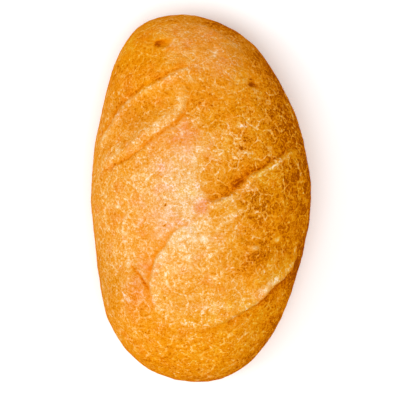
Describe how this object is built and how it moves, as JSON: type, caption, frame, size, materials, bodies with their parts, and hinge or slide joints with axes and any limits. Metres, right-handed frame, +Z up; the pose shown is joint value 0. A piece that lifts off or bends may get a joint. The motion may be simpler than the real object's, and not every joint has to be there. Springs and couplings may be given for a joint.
{
  "type": "scored bread roll",
  "caption": "Short oval bread roll with a golden crackled crust, slanting opened scores across its crown and a flat base to rest on; it is food to slice, fill or serve whole.",
  "frame": {"origin": "middle of the roll's length and width, at the height of its flat base", "axes": "+Z up from the base to the crown, +Y along the roll towards its narrower end, +X to the right when seen from above with +Y away from the viewer"},
  "size_m": [0.0834, 0.14, 0.0556],
  "materials": {
    "crust": "baked golden wheat crust, satin where it browned and matte in the pale crackle"
  },
  "bodies": {
    "root": {"bread_roll": "crust"}
  },
  "joints": []
}
